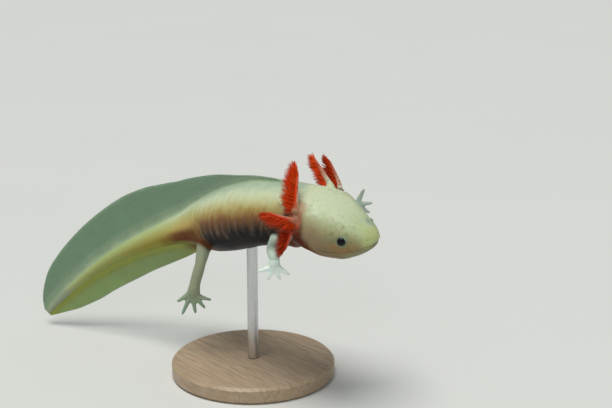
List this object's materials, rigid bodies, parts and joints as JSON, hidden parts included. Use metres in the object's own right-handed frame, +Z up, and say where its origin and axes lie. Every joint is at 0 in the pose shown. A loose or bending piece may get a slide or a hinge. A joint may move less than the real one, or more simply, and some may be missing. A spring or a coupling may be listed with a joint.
{
  "type": "axolotl model on a stand",
  "caption": "Still life-size model of a pale young axolotl hovering as it swims, with feathery gills and a long finned tail, held by a short rod on a round base.",
  "frame": {"origin": "middle of the stand base's flat underside, which rests on the floor", "axes": "+X the way the middle of the trunk heads, +Y the animal's left side, +Z up"},
  "size_m": [0.1525, 0.0643, 0.0859],
  "materials": {
    "skin": "moist, pale cream",
    "fin": "thin, translucent grey-green",
    "gill": "moist red",
    "eye": "glossy black",
    "base": "satin",
    "rod": "brushed"
  },
  "bodies": {
    "root": {"head": "skin", "neck": "skin", "torso": "skin", "tail": "skin", "back_fin": "fin", "tail_fin_upper": "fin", "tail_fin_lower": "fin", "eye_right": "eye", "eye_left": "eye", "gill_right_upper": "gill", "gill_right_middle": "gill", "gill_right_lower": "gill", "gill_left_upper": "gill", "gill_left_middle": "gill", "gill_left_lower": "gill", "foreleg_right": "skin", "foreleg_left": "skin", "hindleg_right": "skin", "hindleg_left": "skin", "forefoot_right": "skin", "forefoot_left": "skin", "hindfoot_right": "skin", "hindfoot_left": "skin", "stand_base": "base", "stand_rod": "rod"}
  },
  "joints": []
}
